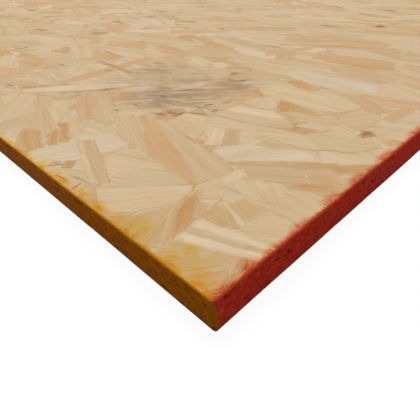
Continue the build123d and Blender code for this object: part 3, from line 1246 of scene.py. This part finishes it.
def flake_top(outline):
    """Points and triangles that fill an outline, with a net of points inside, and how far in each is."""
    low, high = outline.min(0), outline.max(0)
    x, y = np.meshgrid(np.arange(low[0], high[0], POINT_SPACING), np.arange(low[1], high[1], POINT_SPACING))
    net = np.column_stack([x.ravel(), y.ravel()]) + POINT_SPACING / 2
    net = net[inside(outline, net)]
    net = net[outline_gap(outline, net) > POINT_SPACING * 0.3] if len(net) else net
    points = [Vector(p) for p in np.vstack([outline, net])]
    filled = delaunay_2d_cdt(points, [], [list(range(len(outline)))], 1, 1e-5)
    points = np.array([tuple(p) for p in filled[0]])
    return points, filled[2], np.minimum(outline_gap(outline, points), KEPT_GAP)


def extrude_flakes(name, outlines, heights):
    """A mesh with one closed flake for each outline, its top at that height."""
    points, faces, numbers, gaps = [], [], [], []
    for k, (outline, height) in enumerate(zip(outlines, heights)):
        flat, triangles, gap = flake_top(outline)
        faces += [[len(points) + i for i in triangle] for triangle in triangles]
        points += [(*on_sheet(*p), height) for p in flat]
        numbers += [k] * len(flat)
        gaps += list(gap)
    mesh = bpy.data.meshes.new(name)
    mesh.from_pydata(points, [], faces)
    for label, rows in (("number", numbers), ("gap", gaps)):
        mesh.attributes.new(label, "FLOAT", "POINT").data.foreach_set("value", np.array(rows, np.float32))
    made = add_to_scene(name, mesh)
    thicken(made, STRAND_THICKNESS)
    return made


def crevice_outline(line, half_width):
    """A long thin lens round a line of points."""
    line = [np.array(p, float) for p in line]
    middle = [(line[0] + line[1]) / 2] if len(line) == 2 else line[1:-1]
    side = np.array([line[0][1] - line[-1][1], line[-1][0] - line[0][0]])
    side = side / np.linalg.norm(side) * half_width
    return np.array([line[0], *[p - side for p in middle], line[-1], *[p + side for p in middle[::-1]]])


def height_under(line, outlines, heights):
    """The height of the highest outline that holds any point of the line, or else of the last outline."""
    points = np.array(line, float)
    return max((height for outline, height in zip(outlines, heights) if inside(outline, points).any()),
               default=heights[-1])


def lay_outlined():
    """The outlined strands and crevices, as arrays like those of build_strands."""
    rng = np.random.default_rng(77)
    laid = OUTLINED + SOFT_TOUCHES
    count = len(laid)
    outlines = [ragged_outline(outline, rng) for _, _, outline in laid]
    first, band = LAID_BAND
    heights = [THICKNESS - first - band * (1 - k / count) for k in range(count)]
    beds = [height_under(line, outlines, heights) for _, _, line in CREVICES]
    outlines += [crevice_outline(line, half_width) for _, half_width, line in CREVICES]
    heights += [bed + CREVICE_RISE for bed in beds]
    made = extrude_flakes("outlined", outlines, heights)
    mesh = made.data
    points = positions(mesh)
    outward = read(mesh.vertices, "normal", 3) * (1, 1, 0)
    lean = np.linalg.norm(outward, axis=1)[:, None]
    outward = np.where(lean > LEAST_LEAN, outward / np.maximum(lean, LEAST_LEAN), 0)
    faces = read(mesh.loops, "vertex_index", 1, int).reshape(-1, 3)
    owner, gap = [read(mesh.attributes[label].data, "value", 1, np.float32) for label in ("number", "gap")]
    owner = owner.round().astype(int)
    crevice = owner >= count
    low = np.where(points[:, 2] < np.array(heights)[owner] - STRAND_THICKNESS / 2, 1.0, 0.0)
    points += outward * (low * ~crevice)[:, None] * SIDE_SLOPE
    points[:, 2] += low * crevice * (STRAND_THICKNESS - CREVICE_THICKNESS)
    bpy.data.objects.remove(made)

    none = [0] * len(CREVICES)
    tones = np.array([TONES[tone] for tone, _, _ in laid + CREVICES])
    tones *= rng.normal(1, 0.02, (len(tones), 1))
    late = [HEARTWOOD_LATE if tone in HEARTWOODS else rng.uniform(0, OTHER_LATE) for tone, _, _ in laid]
    crisp = [*rng.uniform(0, LAID_CRISP, len(OUTLINED)), *[SOFT_CRISP] * len(SOFT_TOUCHES)]
    crisp += [1] * len(CREVICES)
    angle = np.radians([turn for _, turn, _ in laid] + none)
    run = np.column_stack([-np.sin(angle), np.cos(angle)])[owner]
    flat = points[:, :2] - np.array(on_sheet(0, 0))
    grain = np.column_stack([(flat * run).sum(1), (flat * np.column_stack([-run[:, 1], run[:, 0]])).sum(1)])
    grain += rng.uniform(-FIGURE_SHIFT, FIGURE_SHIFT, (len(tones), 2))[owner]
    gap = np.where(crevice, KEPT_GAP, gap)
    strand = np.column_stack([gap * 0, 0.5 - gap / (2 * KEPT_GAP), gap * 0 + 1, gap * 0 + 2 * KEPT_GAP * MM])
    traits = np.column_stack([np.array(late + none)[owner], low, np.array(crisp)[owner]])
    return points, faces, tones[owner], traits, strand, grain


# %% [markdown]
# ## Sawing the strands off at the edges
# The strands are laid wider than the sheet and then trimmed, as the saw does. Only the strands that cross
# an edge are trimmed, by bisecting their mesh with an upright plane and filling the cut. Three more cuts
# just inside the edge add points there, and these are lowered along a curve, for the worn arris.

# %% Trim with the saw
SAW_INSET = 0.12 * MM
ARRIS_WIDTH = 1.0 * MM
ARRIS_DROP = 0.52 * MM
ARRIS_CUTS = (1.0, 0.7, 0.4)
CORNER_CUTS = (20, 45, 70)


def saw_planes():
    """Each trimming plane's point and outward direction: the four edges and the rounded corners."""
    planes = [
        (Vector((HALF_LENGTH, 0, 0)), Vector((1, 0, 0))), (Vector((-HALF_LENGTH, 0, 0)), Vector((-1, 0, 0))),
        (Vector((0, HALF_WIDTH, 0)), Vector((0, 1, 0))), (Vector((0, -HALF_WIDTH, 0)), Vector((0, -1, 0))),
    ]
    for sx in (1, -1):
        for sy in (1, -1):
            middle = Vector((sx * (HALF_LENGTH - CORNER_RADIUS), sy * (HALF_WIDTH - CORNER_RADIUS), 0))
            for turn in map(math.radians, CORNER_CUTS):
                out = Vector((sx * math.cos(turn), sy * math.sin(turn), 0))
                planes.append((middle + out * CORNER_RADIUS, out))
    return planes


def bisect(obj, point, out, clear):
    """Cuts the mesh with an upright plane, and with clear throws away what is outside it."""
    edit_all(obj)
    bpy.ops.mesh.bisect(plane_co=point, plane_no=out, use_fill=clear, clear_outer=clear)


def saw_off(obj, up):
    """Trims the mesh at the sawn edges and eases the arris. up is 1 on the top face, -1 on the underside."""
    for point, out in saw_planes():
        bisect(obj, point - out * SAW_INSET, out, True)
    for point, out in saw_planes()[:4]:
        for share in ARRIS_CUTS:
            bisect(obj, point - out * (SAW_INSET + share * (ARRIS_WIDTH - SAW_INSET)), out, False)
    bpy.ops.object.mode_set(mode="OBJECT")
    co = positions(obj.data)
    inset = np.minimum(HALF_LENGTH - np.abs(co[:, 0]), HALF_WIDTH - np.abs(co[:, 1]))
    co[:, 2] -= up * np.clip((ARRIS_WIDTH - inset) / (ARRIS_WIDTH - SAW_INSET), 0, 1) ** 2 * ARRIS_DROP
    obj.data.vertices.foreach_set("co", co.ravel())
    edit_all(obj)
    bpy.ops.mesh.quads_convert_to_tris(ngon_method="BEAUTY")
    bpy.ops.object.mode_set(mode="OBJECT")


# %% [markdown]
# ## Both faces
# Each face is built in eight parts, two rows of four, so that no mesh is too large. The underside is the
# same work with other random numbers, turned over. The outlined strands are a part of their own.

# %% Lay the strands on both faces
PARTS_ALONG = 4
PARTS_ACROSS = 2
FACE_TOP = 0.04 * MM


def top_down_map(mesh, up):
    """A second map that looks straight down on the part, with the faces in order, the highest drawn last."""
    sorter = bmesh.new()
    sorter.from_mesh(mesh)
    sorter.faces.sort(key=lambda face: up * face.calc_center_median().z)
    sorter.to_mesh(mesh)
    sorter.free()
    flat = positions(mesh)[:, :2]
    add_map(mesh, "OFBake", (flat - flat.min(0)) / (flat.max(0) - flat.min(0)))


def strand_numbers(count, faces):
    """Which strand each point belongs to, by spreading the lowest point number over shared triangles."""
    label = np.arange(count)
    while True:
        least = label[faces].min(1)
        before = label.copy()
        for k in range(3):
            np.minimum.at(label, faces[:, k], least)
        if (label == before).all():
            return np.unique(label, return_inverse=True)[1]


def face_piece(name, arrays, up):
    """Makes one part of a face: the strands inside the edges, and those that the saw trims, joined."""
    points, faces, tones, traits, strands, grain = arrays
    points = points.copy()
    points[:, 2] += face_wave(points)
    if up < 0:
        points = points * (1, 1, -1) + (0, 0, THICKNESS)
        faces = faces[:, ::-1]
    inner = ARRIS_WIDTH * 1.5
    beyond = (np.abs(points[:, 0]) > HALF_LENGTH - inner) | (np.abs(points[:, 1]) > HALF_WIDTH - inner)
    group = strand_numbers(len(points), faces)
    crossing = np.zeros(group.max() + 1, bool)
    np.logical_or.at(crossing, group, beyond)
    trimmed = crossing[group]
    pieces = []
    for keep in (~trimmed, trimmed):
        if not keep.any():
            continue
        renumber = np.cumsum(keep) - 1
        piece = mesh_object(name, points[keep], renumber[faces[keep[faces[:, 0]]]], strand_wood)
        give_looks(piece.data, tones[keep], traits[keep], strands[keep], grain[keep])
        if keep is trimmed:
            saw_off(piece, up)
        pieces.append(piece)
    only(*pieces)
    bpy.ops.object.join()
    piece = pieces[0]
    piece.name = name
    top_down_map(piece.data, up)
    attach(piece, "root")
    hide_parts("osb_panel")
    say_triangles(piece)


def part_of(places, half, count):
    """Which of the equal parts between -half and half each place lies in."""
    return np.clip(((places + half) / (2 * half) * count).astype(int), 0, count - 1)


def lay_face(prefix, up, seed):
    """All the random strands of one face, in its parts."""
    layers = [scatter(seed, **BIG_STRANDS), scatter(seed + 1, **SMALL_STRANDS)]
    if up > 0:
        for s in layers:
            keep_below(s)
    for i in range(PARTS_ALONG):
        for j in range(PARTS_ACROSS):
            stacks = []
            for s in layers:
                column = part_of(s["x"], HALF_LENGTH, PARTS_ALONG)
                row = part_of(s["y"], HALF_WIDTH, PARTS_ACROSS)
                pick = np.nonzero((column == i) & (row == j))[0]
                stacks.append(build_strands(s, pick, THICKNESS - FACE_TOP))
            stacks[1][1] += len(stacks[0][0])
            face_piece(f"{prefix}_{i + 1}_{j + 1}", [np.concatenate(pair) for pair in zip(*stacks)], up)
    print(prefix, "strands", sum(len(s["x"]) for s in layers))


lay_face("top_strands", 1, 11)
lay_face("under_strands", -1, 23)
face_piece("corner_strands", lay_outlined(), 1)
